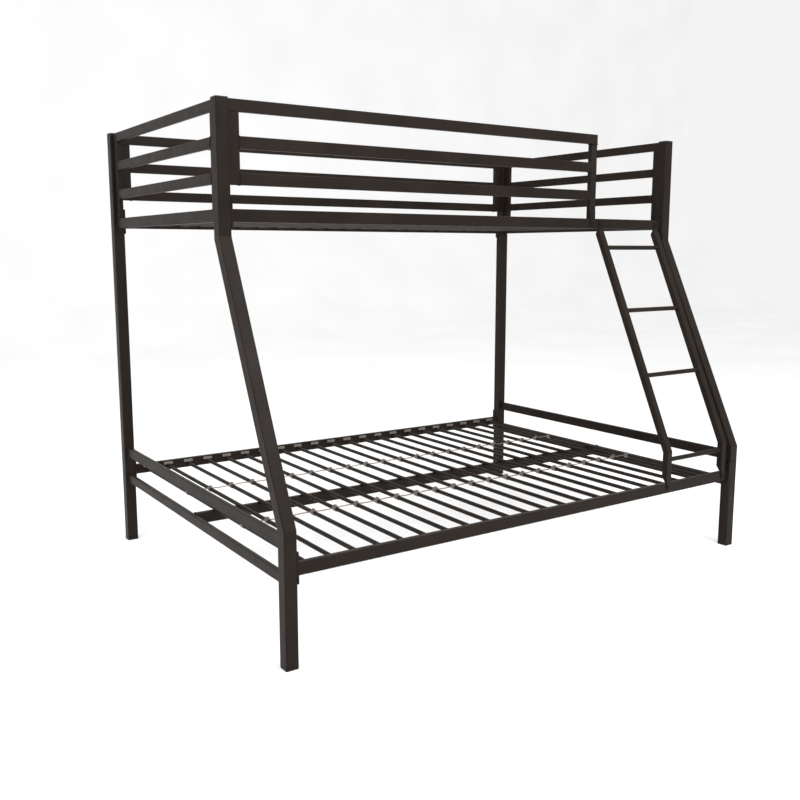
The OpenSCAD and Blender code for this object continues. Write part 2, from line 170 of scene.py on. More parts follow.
@dataclass(frozen=True)
class PowderCoat:
    """Polyester powder coat, sprayed on steel and baked.

    The powder melts into one thick skin. To the eye that gives a soft satin sheen, a faint
    orange-peel ripple, and slightly paler edges where the melt draws thin.

    Attributes:
        deep: Colour of the thick coat.
        pale: Colour where the coat is slightly thinner.
        worn: Colour along edges, where the coat draws thin.
        rough: Mean roughness.
        gloss: Specular level; a filled powder coat reflects less than a clear one.
        edge_mm: Width of the band along an edge that shows paler.
        drift_mm: Size of the slow change of colour from one spray stroke to the next.
        sheen_mm: Size of the patches of slightly different sheen.
        scuff_mm: Size of the breaks in the paler edge.
        peel_mm: Size of the orange-peel cells.
        grain_mm: Size of the powder's grain. The real grain is too fine to show, so it is drawn
            coarser.
        peel_deep_mm: Depth of the orange peel.
        grain_deep_mm: Depth of the grain.
    """

    deep: str = "#1b1511"
    pale: str = "#231c17"
    worn: str = "#433a33"
    rough: float = 0.44
    gloss: float = 0.1
    edge_mm: float = 1.5
    drift_mm: float = 140.0
    sheen_mm: float = 45.0
    scuff_mm: float = 9.0
    peel_mm: float = 1.4
    grain_mm: float = 0.35
    peel_deep_mm: float = 0.02
    grain_deep_mm: float = 0.004

    def material(self) -> bpy.types.Material:
        """Builds the material.

        Returns:
            The finished material.
        """
        s = Shader("powder_coated_steel_baked_satin")
        # Size in mm, detail and roughness of each noise.
        noises = {
            "drift": (self.drift_mm, 3.0, 0.5),
            "scuff": (self.scuff_mm, 5.0, 0.65),
            "sheen": (self.sheen_mm, 3.0, 0.5),
            "peel": (self.peel_mm, 1.0, 0.5),
            "grain": (self.grain_mm, 2.0, 0.5),
        }
        noise = {
            name: s.add(
                "ShaderNodeTexNoise",
                {
                    "Vector": s.place,
                    "Scale": cells_per_metre(size_mm),
                    "Detail": detail,
                    "Roughness": share,
                },
            ).outputs["Fac"]
            for name, (size_mm, detail, share) in noises.items()
        }
        # The rounded normal leaves the true one only close to a sharp edge.
        rounded = s.add("ShaderNodeBevel", {"Radius": self.edge_mm * MM}, samples=4)
        true = s.add("ShaderNodeNewGeometry")
        agree = s.add(
            "ShaderNodeVectorMath",
            {0: rounded.outputs["Normal"], 1: true.outputs["Normal"]},
            operation="DOT_PRODUCT",
        )
        # Source, then the range it is taken from and the range it is spread over.
        spreads = {
            "drift": (noise["drift"], 0.3, 0.7, 0.0, 1.0),
            "scuff": (noise["scuff"], 0.45, 0.75, 0.0, 0.5),
            "sheen": (noise["sheen"], 0.3, 0.7, self.rough - 0.02, self.rough + 0.04),
            "edge": (agree.outputs["Value"], 0.99, 0.8, 0.0, 1.0),
        }
        spread = {
            name: s.add(
                "ShaderNodeMapRange",
                {
                    "Value": source,
                    "From Min": low,
                    "From Max": high,
                    "To Min": to_low,
                    "To Max": to_high,
                },
            ).outputs["Result"]
            for name, (source, low, high, to_low, to_high) in spreads.items()
        }
        body = s.add(
            "ShaderNodeMix",
            {
                MIX_FACTOR: spread["drift"],
                MIX_FIRST: linear_colour(self.deep),
                MIX_SECOND: linear_colour(self.pale),
            },
            data_type="RGBA",
        )
        thin = s.add(
            "ShaderNodeMath", {0: spread["edge"], 1: spread["scuff"]}, operation="MULTIPLY"
        )
        tone = s.add(
            "ShaderNodeMix",
            {
                MIX_FACTOR: thin.outputs["Value"],
                MIX_FIRST: body.outputs[MIX_RESULT],
                MIX_SECOND: linear_colour(self.worn),
            },
            data_type="RGBA",
        )
        peel = s.add(
            "ShaderNodeBump",
            {
                "Height": noise["peel"],
                "Distance": self.peel_deep_mm * MM,
                "Strength": 1.0,
                "Normal": rounded.outputs["Normal"],
            },
        )
        grain = s.add(
            "ShaderNodeBump",
            {
                "Height": noise["grain"],
                "Distance": self.grain_deep_mm * MM,
                "Strength": 1.0,
                "Normal": peel.outputs["Normal"],
            },
        )
        s.feed(s.surface, "Base Color", tone.outputs[MIX_RESULT])
        s.feed(s.surface, "Roughness", spread["sheen"])
        s.feed(s.surface, "IOR", 1.5)
        s.feed(s.surface, "Specular IOR Level", self.gloss)
        s.feed(s.surface, "Normal", grain.outputs["Normal"])
        return s.material


@dataclass(frozen=True)
class PlatedSteel:
    """Steel with a thin plated or blackened skin.

    Zinc plating gives the eye a dull grey metal with a faint mottle of crystals, and black
    oxide the same mottle nearly lost in a dark sheen.

    Attributes:
        name: Name of the material.
        light: Brighter metal colour.
        dark: Darker metal colour.
        rough: Mean roughness.
        crystal_mm: Size of the crystals. The real ones are too fine to show, so they are drawn
            coarser.
        sheen_mm: Size of the patches of different sheen.
        grain_mm: Size of the fine bumps, drawn coarser than the real ones for the same reason.
        grain_deep_mm: Depth of the fine bumps.
    """

    name: str
    light: str
    dark: str
    rough: float
    crystal_mm: float = 2.2
    sheen_mm: float = 1.6
    grain_mm: float = 0.5
    grain_deep_mm: float = 0.006

    def material(self) -> bpy.types.Material:
        """Builds the material.

        Returns:
            The finished material.
        """
        s = Shader(self.name)
        crystals = s.add(
            "ShaderNodeTexVoronoi",
            {"Vector": s.place, "Scale": cells_per_metre(self.crystal_mm)},
        )
        mottle = s.add(
            "ShaderNodeMapRange", {"Value": crystals.outputs["Distance"], "From Max": 0.8}
        )
        tone = s.add(
            "ShaderNodeMix",
            {
                MIX_FACTOR: mottle.outputs["Result"],
                MIX_FIRST: linear_colour(self.light),
                MIX_SECOND: linear_colour(self.dark),
            },
            data_type="RGBA",
        )
        patches = s.add(
            "ShaderNodeTexNoise",
            {"Vector": s.place, "Scale": cells_per_metre(self.sheen_mm), "Detail": 4.0},
        )
        sheen = s.add(
            "ShaderNodeMapRange",
            {
                "Value": patches.outputs["Fac"],
                "From Min": 0.3,
                "From Max": 0.7,
                "To Min": self.rough - 0.07,
                "To Max": self.rough + 0.1,
            },
        )
        grain = s.add(
            "ShaderNodeTexNoise",
            {"Vector": s.place, "Scale": cells_per_metre(self.grain_mm), "Detail": 3.0},
        )
        bumps = s.add(
            "ShaderNodeBump",
            {
                "Height": grain.outputs["Fac"],
                "Distance": self.grain_deep_mm * MM,
                "Strength": 1.0,
            },
        )
        s.feed(s.surface, "Base Color", tone.outputs[MIX_RESULT])
        s.feed(s.surface, "Metallic", 1.0)
        s.feed(s.surface, "Roughness", sheen.outputs["Result"])
        s.feed(s.surface, "Normal", bumps.outputs["Normal"])
        return s.material


@dataclass(frozen=True)
class MouldedPlastic:
    """Injection-moulded plastic from a spark-eroded mould.

    The mould's grain gives the eye an even, matt face with no highlight of its own, and the
    pigment a very slight drift of colour.

    Attributes:
        name: Name of the material.
        body: Main colour.
        shade: Second colour of the slow variation.
        rough: Mean roughness.
        drift_mm: Size of the drift of colour.
        sheen_mm: Size of the patches of different sheen.
        grain_mm: Size of the mould's grain. The real grain is too fine to show, so it is drawn
            coarser.
        grain_deep_mm: Depth of the grain.
    """

    name: str
    body: str
    shade: str
    rough: float
    drift_mm: float = 12.0
    sheen_mm: float = 2.5
    grain_mm: float = 0.4
    grain_deep_mm: float = 0.01

    def material(self) -> bpy.types.Material:
        """Builds the material.

        Returns:
            The finished material.
        """
        s = Shader(self.name)
        # Size in mm and detail of each noise.
        noises = {
            "drift": (self.drift_mm, 3.0),
            "sheen": (self.sheen_mm, 3.0),
            "grain": (self.grain_mm, 2.0),
        }
        noise = {
            name: s.add(
                "ShaderNodeTexNoise",
                {"Vector": s.place, "Scale": cells_per_metre(size_mm), "Detail": detail},
            ).outputs["Fac"]
            for name, (size_mm, detail) in noises.items()
        }
        drift = s.add(
            "ShaderNodeMapRange", {"Value": noise["drift"], "From Min": 0.3, "From Max": 0.7}
        )
        tone = s.add(
            "ShaderNodeMix",
            {
                MIX_FACTOR: drift.outputs["Result"],
                MIX_FIRST: linear_colour(self.body),
                MIX_SECOND: linear_colour(self.shade),
            },
            data_type="RGBA",
        )
        sheen = s.add(
            "ShaderNodeMapRange",
            {
                "Value": noise["sheen"],
                "From Min": 0.3,
                "From Max": 0.7,
                "To Min": self.rough - 0.06,
                "To Max": self.rough + 0.08,
            },
        )
        bumps = s.add(
            "ShaderNodeBump",
            {"Height": noise["grain"], "Distance": self.grain_deep_mm * MM, "Strength": 1.0},
        )
        s.feed(s.surface, "Base Color", tone.outputs[MIX_RESULT])
        s.feed(s.surface, "Roughness", sheen.outputs["Result"])
        s.feed(s.surface, "IOR", 1.49)
        s.feed(s.surface, "Normal", bumps.outputs["Normal"])
        return s.material


class Surface:
    """Closed quad and n-gon surfaces gathered into one mesh."""

    def __init__(self) -> None:
        """Starts with no geometry."""
        self.points: list[np.ndarray] = []
        self.quads: list[np.ndarray] = []
        self.lids: list[np.ndarray] = []
        self.count = 0

    def grid(self, points: np.ndarray, wrap_rows: bool, wrap_cols: bool) -> int:
        """Adds a grid of quads.

        Args:
            points: Array of shape (rows, columns, 3). Counter-clockwise columns on rising rows
                give outward faces.
            wrap_rows: Whether the last row joins the first.
            wrap_cols: Whether the last column joins the first.

        Returns:
            Index of the grid's first point.
        """
        rows, cols = points.shape[:2]
        first = self.count
        index = np.arange(rows * cols).reshape(rows, cols) + first
        down = np.roll(index, -1, 0)[: rows if wrap_rows else rows - 1]
        here = index[: rows if wrap_rows else rows - 1]
        span = cols if wrap_cols else cols - 1
        self.quads.append(
            np.stack(
                [
                    here[:, :span],
                    np.roll(here, -1, 1)[:, :span],
                    np.roll(down, -1, 1)[:, :span],
                    down[:, :span],
                ],
                -1,
            ).reshape(-1, 4)
        )
        self.points.append(points.reshape(-1, 3))
        self.count += rows * cols
        return first

    def lid(self, first: int, size: int, turned: bool) -> None:
        """Closes a loop of points that are already there with one flat face."""
        ring = np.arange(first, first + size)
        self.lids.append(ring[::-1] if turned else ring)

    def repeat(self, part: "Surface", moves: np.ndarray) -> None:
        """Adds copies of a part.

        Args:
            part: The surface to copy.
            moves: Offset of each copy, an array of shape (n, 3).
        """
        points = np.concatenate(part.points)
        quads = np.concatenate(part.quads)
        n = len(moves)
        steps = np.arange(n) * len(points) + self.count
        self.points.append((points[None] + moves[:, None]).reshape(-1, 3))
        self.quads.append((quads[None] + steps[:, None, None]).reshape(-1, 4))
        self.lids.extend(ring + step for step in steps for ring in part.lids)
        self.count += n * len(points)

    def build(self, name: str, material: bpy.types.Material) -> bpy.types.Object:
        """Makes the Blender object.

        Args:
            name: Name of the piece.
            material: Finish of the piece.

        Returns:
            The object, at the origin, unturned and unscaled.
        """
        points = np.concatenate(self.points)
        quads = np.concatenate(self.quads)
        corners = np.concatenate([quads.ravel(), *self.lids]).astype(np.int32)
        lid_sizes = [len(ring) for ring in self.lids]
        sizes = np.concatenate([np.full(len(quads), 4), lid_sizes]).astype(np.int32)
        mesh = bpy.data.meshes.new(name)
        mesh.vertices.add(len(points))
        mesh.vertices.foreach_set("co", points.astype(np.float32).ravel())
        mesh.loops.add(len(corners))
        mesh.loops.foreach_set("vertex_index", corners)
        mesh.polygons.add(len(sizes))
        mesh.polygons.foreach_set("loop_start", (np.cumsum(sizes) - sizes).astype(np.int32))
        mesh.polygons.foreach_set("loop_total", sizes)
        mesh.update(calc_edges=True)
        mesh.validate()
        mesh.materials.append(material)
        mesh.set_sharp_from_angle(angle=SHARP_ANGLE)
        piece = bpy.data.objects.new(name, mesh)
        bpy.context.scene.collection.objects.link(piece)
        return piece


def box_of(node: str) -> tuple[np.ndarray, np.ndarray]:
    """Returns a CAD node's lowest and highest corners as arrays, in metres."""
    low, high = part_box(node)
    return np.array(low), np.array(high)


def rounded_loop(wide: float, high: float, radius: float, steps: int) -> np.ndarray:
    """Returns a closed rounded rectangle round the origin, counter-clockwise.

    Each corner is a quarter circle of the given radius, sampled in equal angles; the straight
    sides are the gaps between one corner's last point and the next one's first.

    Args:
        wide: Full width.
        high: Full height.
        radius: Corner radius.
        steps: Number of steps in each corner.

    Returns:
        Array of shape (4 * (steps + 1), 2).
    """
    turn = np.linspace(0, math.pi / 2, steps + 1)
    corners = []
    for k, (sx, sy) in enumerate(((1, 1), (-1, 1), (-1, -1), (1, -1))):
        angle = turn + k * math.pi / 2
        centre = np.array([sx * (wide / 2 - radius), sy * (high / 2 - radius)])
        corners.append(centre + radius * np.stack([np.cos(angle), np.sin(angle)], 1))
    return np.concatenate(corners)


@dataclass
class Frame:
    """The coated steel tubes of the CAD: posts, rails, guards, plates, slats and ladder.

    Attributes:
        finishes: Material by slot name in the record.
    """

    finishes: dict[str, bpy.types.Material]

    def dress(self) -> None:
        """Puts the finish of its slot on every CAD node."""
        slots = {row["node"]: row["material_slot"] for row in frame["record"]["subparts"]}
        for node, piece in frame["nodes"].items():
            piece.data.materials.clear()
            piece.data.materials.append(self.finishes[slots[node]])
        LOG.info("dressed %d CAD nodes", len(slots))


def ring_frame(axis: Axis) -> np.ndarray:
    """Returns rows that carry (across, up, along) of a section to X, Y, Z.

    Every axis keeps the turn from across to up right-handed about the axis, so a loop that runs
    counter-clockwise in the section gives outward faces on rising rows.

    Args:
        axis: Axis the section is swept along.

    Returns:
        Array of shape (3, 3).
    """
    unit = np.eye(3)
    return {
        Axis.X: np.stack([unit[1], unit[2], unit[0]]),
        Axis.Y: np.stack([unit[2], unit[0], unit[1]]),
        Axis.Z: np.stack([unit[0], unit[1], unit[2]]),
    }[axis]


def even_loop(loop: np.ndarray, count: int) -> tuple[np.ndarray, np.ndarray, float]:
    """Spaces points evenly along a closed loop.

    The loop's length is summed edge by edge; each new point is found by linear interpolation at
    equal distances, and the outward direction is the tangent turned a quarter turn clockwise.

    Args:
        loop: Array of shape (n, 2), counter-clockwise.
        count: Number of points wanted.

    Returns:
        The points, their outward directions, both of shape (count, 2), and the loop's length.
    """
    closed = np.concatenate([loop, loop[:1]])
    reach = np.concatenate([[0.0], np.cumsum(np.linalg.norm(np.diff(closed, axis=0), axis=1))])
    at = np.arange(count) * reach[-1] / count
    points = np.stack([np.interp(at, reach, closed[:, k]) for k in (0, 1)], 1)
    tangent = np.roll(points, -1, 0) - np.roll(points, 1, 0)
    tangent /= np.linalg.norm(tangent, axis=1, keepdims=True)
    return points, np.stack([tangent[:, 1], -tangent[:, 0]], 1), float(reach[-1])


@dataclass
class WeldBeads:
    """Weld beads where tubes meet: a rippled fillet round the end of each tube.

    Attributes:
        coat: Finish of the beads, the same coat as the tubes.
        radius: Radius of a bead's section.
        ripple: Distance between two ripples.
        swell: Share of the radius by which a ripple rises and falls.
        corner: Corner radius of the rectangular tubes.
        sides: Number of points round a bead's section.
        rows_per_ripple: Number of sections in one ripple.
        least_ripples: Fewest ripples round a tube.
    """

    coat: bpy.types.Material
    radius: float = 1.9 * MM
    ripple: float = 3.8 * MM
    swell: float = 0.14
    corner: float = 2.5 * MM
    sides: int = 8
    rows_per_ripple: int = 4
    least_ripples: int = 8

    def bead(self, surface: Surface, axis: Axis, centre: np.ndarray, loop: np.ndarray) -> None:
        """Adds one bead round a tube's end.

        The bead is a torus along the loop. Its section is a circle whose radius is the mean radius
        times 1 + swell * cos(2 pi * distance / ripple), with a whole number of ripples.

        Args:
            surface: Mesh being built.
            axis: Axis of the tube.
            centre: Middle of the tube's end.
            loop: The tube's outline across the axis, as (across, up) points.
        """
        length = even_loop(loop, len(loop))[2]
        ripples = max(self.least_ripples, round(length / self.ripple))
        rows = self.rows_per_ripple * ripples
        points, outward, _ = even_loop(loop, rows)
        # The section is run clockwise, which turns the bead's faces outwards.
        around = -np.arange(self.sides) * 2 * math.pi / self.sides
        phase = np.arange(rows) * 2 * math.pi / self.rows_per_ripple
        size = self.radius * (1 + self.swell * np.cos(phase))
        out = size[:, None] * np.cos(around)[None]
        along = size[:, None] * np.sin(around)[None]
        flat = points[:, None] + outward[:, None] * out[..., None]
        local = np.concatenate([flat, along[..., None]], -1)
        surface.grid(local @ ring_frame(axis) + centre, True, True)

    def tube_end(self, surface: Surface, node: str, axis: Axis, end: End) -> None:
        """Adds the bead round one end of a straight rectangular tube.

        Args:
            surface: Mesh being built.
            node: CAD node of the tube.
            axis: Axis the tube runs along.
            end: Which end.
        """
        self.box_end(surface, box_of(node), axis, end)

    def box_end(
        self, surface: Surface, box: tuple[np.ndarray, np.ndarray], axis: Axis, end: End
    ) -> None:
        """Adds the bead round one end of a rectangular tube given by its box.

        Args:
            surface: Mesh being built.
            box: The tube's lowest and highest corners.
            axis: Axis the tube runs along.
            end: Which end.
        """
        low, high = box
        centre = (low + high) / 2
        centre[axis.value] = box[end.value][axis.value]
        across, up = (ring_frame(axis)[k] @ (high - low) for k in (0, 1))
        self.bead(surface, axis, centre, rounded_loop(across, up, self.corner, 5))

    def finish(self, surface: Surface, name: str) -> None:
        """Makes the piece and ties it to the bed.

        Args:
            surface: The beads' mesh.
            name: Name of the piece.
        """
        piece = surface.build(name, self.coat)
        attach(piece, "root")
        LOG.info("%s: %d faces", name, len(piece.data.polygons))

    def build(self) -> None:
        """Builds the beads of the end frames, the guards, the side rails and the ladder."""
        ends = Surface()
        for side in ("left", "right"):
            for rail in END_RAILS:
                for end in End:
                    self.tube_end(ends, f"{side}_{rail}", Axis.Y, end)
            low, high = box_of(f"{side}_guard_uprights")
            width = box_of(f"{side}_guard_rail_low")[0][1] - low[1]
            for start in (low[1], high[1] - width):
                foot = np.array([low[0], start, low[2]])
                head = np.array([high[0], start + width, high[2]])
                for end in End:
                    self.box_end(ends, (foot, head), Axis.Z, end)
        self.finish(ends, "end_frame_weld_beads")

        guards = Surface()
        for face in ("front", "rear"):
            for rail in ("low", "mid", "top"):
                for end in End:
                    # The front top rail ends free over the gate upright, so it has no bead there.
                    if (face, rail, end) != ("front", "top", End.HIGH):
                        self.tube_end(guards, f"{face}_guard_rail_{rail}", Axis.X, end)
            for side in ("left", "right"):
                self.tube_end(guards, f"{face}_guard_{side}_upright", Axis.Z, End.HIGH)
        self.finish(guards, "guard_weld_beads")

        rails = Surface()
        for rail in BEDDED_RAILS:
            for end in End:
                self.tube_end(rails, rail, Axis.X, end)
        self.finish(rails, "side_rail_weld_beads")

        ladder = Surface()
        turn = np.arange(24) * math.pi / 12
        for rung in RUNGS:
            low, high = box_of(rung)
            loop = (high[2] - low[2]) / 2 * np.stack([np.cos(turn), np.sin(turn)], 1)
            for end in End:
                centre = (low + high) / 2
                centre[0] = (low, high)[end.value][0]
                self.bead(ladder, Axis.X, centre, loop)
        self.finish(ladder, "ladder_weld_beads")


@dataclass
class SocketBolts:
    """Button-head bolts with a hexagon socket, through the joint plates and the ladder's tabs.

    Attributes:
        steel: Finish of the bolts.
        head_radius: Radius of a head.
        head_high: Height of a head.
        hexagon: Half the distance across the socket's flats.
        socket_deep: Depth of the socket.
        above: Height of the upper joint bolt over the rail's top.
        below: Depth of the lower joint bolt under the rail's underside.
        tab_drop: Distance of a ladder bolt from the edge of its rail.
        tab_thick: Thickness of a ladder tab on the deck rail.
        sides: Number of points round a head.
        dome_end: Angle at which the dome stops at the socket, in radians.
        dome_rows: Number of rows in the dome.
        rim_share: Share of the head's height that its straight rim takes.
        lip: Height of the chamfer at the socket's mouth.
        flare: How much wider the socket's mouth is than the socket.
    """

    steel: bpy.types.Material
    head_radius: float = 6.0 * MM
    head_high: float = 3.5 * MM
    hexagon: float = 2.0 * MM
    socket_deep: float = 2.2 * MM
    above: float = 17.0 * MM
    below: float = 10.0 * MM
    tab_drop: float = 15.0 * MM
    tab_thick: float = 3.0 * MM
    sides: int = 36
    dome_end: float = 1.15
    dome_rows: int = 7
    rim_share: float = 0.25
    lip: float = 0.2 * MM
    flare: float = 1.06

    def head(self, towards: Axis, sign: int) -> Surface:
        """Makes one head that stands on the origin and rises along an axis.

        The dome is a quarter ellipse over a straight rim: its radius is head_radius * cos(a), its
        height is the rim's share plus the rest times sin(a), and it stops where it reaches the
        socket. The socket's wall is a hexagon: its radius at an angle is the half width over the
        flats divided by the cosine of the angle from the nearest flat's middle.

        Args:
            towards: Axis of the bolt.
            sign: 1 if the head rises along the axis, -1 if against it.

        Returns:
            The closed head.
        """
        turn = np.arange(self.sides) * 2 * math.pi / self.sides
        sweep = np.linspace(0, self.dome_end, self.dome_rows)
        flat = math.pi / 3
        hexagon = self.hexagon / np.cos((turn + flat / 2) % flat - flat / 2)
        rim = np.full(self.sides, self.head_radius)
        rise = self.rim_share + (1 - self.rim_share) * np.sin(sweep)
        radii = [rim, *(rim * math.cos(a) for a in sweep)]
        highs = [0.0, *(float(self.head_high * share) for share in rise)]
        mouth = highs[-1] - self.lip / 2
        radii += [hexagon * self.flare, hexagon, hexagon]
        highs += [mouth, mouth - self.lip, mouth - self.socket_deep]
        rings = np.stack(
            [
                np.array(radii) * np.cos(turn),
                np.array(radii) * np.sin(turn),
                np.broadcast_to(np.array(highs)[:, None], (len(highs), self.sides)),
            ],
            -1,
        )
        if sign < 0:
            rings = rings[:, ::-1] * np.array([1.0, 1.0, -1.0])
        head = Surface()
        first = head.grid(rings @ ring_frame(towards), False, True)
        head.lid(first, self.sides, True)
        head.lid(first + (len(highs) - 1) * self.sides, self.sides, False)
        return head

    def finish(self, surface: Surface, name: str, node: str) -> None:
        """Makes the piece, which stands for the CAD node of the same bolts.

        Args:
            surface: The heads' mesh.
            name: Name of the piece.
            node: CAD node that it replaces.
        """
        piece = surface.build(name, self.steel)
        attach(piece, "root")
        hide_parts(node)
        LOG.info("%s: %d faces", name, len(piece.data.polygons))

    def build(self) -> None:
        """Builds the joint bolts and the ladder's bolts."""
        joints = Surface()
        low, high = box_of("joint_plates")
        thick = box_of("front_side_rail")[0][0] - low[0]
        post_back = box_of("rear_left_post")
        width = post_back[1][1] - post_back[0][1]
        for sign, face in ((1, low[0] + thick), (-1, high[0] - thick)):
            places = []
            for rail, post in (
                ("front_side_rail", "front_left_post"),
                ("rear_side_rail", "rear_left_post"),
                ("front_deck_rail", "front_left_post"),
                ("rear_deck_rail", "rear_left_post"),
            ):
                rail_low, rail_high = box_of(rail)
                post_low, post_high = box_of(post)
                # A front post's foot is its foremost part and carries the lower rail.
                if rail == "front_side_rail":
                    middle = post_low[1] + width / 2
                else:
                    middle = post_high[1] - width / 2
                places.append([face, middle, rail_low[2] - self.below])
                places.append([face, middle, rail_high[2] + self.above])
            joints.repeat(self.head(Axis.X, sign), np.array(places))
        self.finish(joints, "joint_bolt_button_heads", "joint_bolts")

        ladder = Surface()
        places = []
        deck_low, deck_high = box_of("front_deck_rail")
        side_high = box_of("front_side_rail")[1]
        foremost = box_of("ladder_bolts")[0][1]
        for stile in ("ladder_left_stile", "ladder_right_stile"):
            low, high = box_of(stile)
            middle = (low[0] + high[0]) / 2
            places.append([middle, foremost + self.head_high, side_high[2] - self.tab_drop])
            places.append([middle, deck_low[1] - self.tab_thick, deck_low[2] + self.tab_drop])
        gate_low, gate_high = box_of("front_guard_right_upright")
        middle = (gate_low[0] + gate_high[0]) / 2
        places.append([middle, gate_low[1], deck_high[2] - self.tab_drop])
        ladder.repeat(self.head(Axis.Y, -1), np.array(places))
        self.finish(ladder, "ladder_bolt_button_heads", "ladder_bolts")


@dataclass
class PostCaps:
    """Push-in caps on the four posts: a crowned flange with soft edges and a plug.

    Attributes:
        plastic: Finish of the caps.
        flange: Height of the part that shows.
        crown: How far the top's middle stands over its rim.
        corner: Corner radius of the flange.
        plug_gap: Distance from the flange's edge in to the plug.
        rim: Radius of the flange's soft upper edge.
        least_corner: Smallest corner radius of any row.
    """

    plastic: bpy.types.Material
    flange: float = 3.0 * MM
    crown: float = 0.8 * MM
    corner: float = 3.0 * MM
    plug_gap: float = 1.8 * MM
    rim: float = 1.0 * MM
    least_corner: float = 0.3 * MM

    def cap(self, width: float, high: float) -> Surface:
        """Makes one cap with its lower corner at the origin.

        Each row is a rounded square drawn in from the flange by the row's inset and raised to the
        row's height. The rim follows a quarter circle, and the top rises as a cosine of the inset
        towards the middle.

        Args:
            width: Width of the flange.
            high: Height from the plug's lower end to the crown.

        Returns:
            The closed cap.
        """
        turn = np.linspace(0, math.pi / 2, 5)
        base = high - self.flange
        insets = [self.plug_gap, self.plug_gap, 0.0]
        levels = [0.0, base, base]
        insets += [float(self.rim * (1 - np.cos(a))) for a in turn]
        levels += [float(high - self.crown - self.rim + self.rim * np.sin(a)) for a in turn]
        inwards = np.linspace(0.1, 0.9, 6)
        insets += [float(self.rim + share * (width / 2 - self.rim)) for share in inwards]
        bow = 0.5 * (1 + np.cos(math.pi * inwards))
        levels += [float(high - self.crown * share) for share in bow]
        levels[-1] = high
        sides = [width - 2 * inset for inset in insets]
        corners = [max(self.corner - inset, self.least_corner) for inset in insets]
        rows = [rounded_loop(side, side, corner, 5) for side, corner in zip(sides, corners)]
        points = np.stack(
            [
                np.column_stack([row + width / 2, np.full(len(row), level)])
                for row, level in zip(rows, levels)
            ]
        )
        cap = Surface()
        first = cap.grid(points, False, True)
        cap.lid(first, points.shape[1], True)
        cap.lid(first + (len(levels) - 1) * points.shape[1], points.shape[1], False)
        return cap

    def build(self) -> None:
        """Builds the four caps."""
        low, high = box_of("post_caps")
        post_low, post_high = box_of("rear_left_post")
        width = post_high[0] - post_low[0]
        corners_x = (low[0], high[0] - width)
        corners_y = (low[1], high[1] - width)
        places = [[x, y, low[2]] for x in corners_x for y in corners_y]
        caps = Surface()
        caps.repeat(self.cap(width, high[2] - low[2]), np.array(places))
        piece = caps.build("crowned_post_caps", self.plastic)
        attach(piece, "root")
        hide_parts("post_caps")
        LOG.info("crowned_post_caps: %d faces", len(piece.data.polygons))


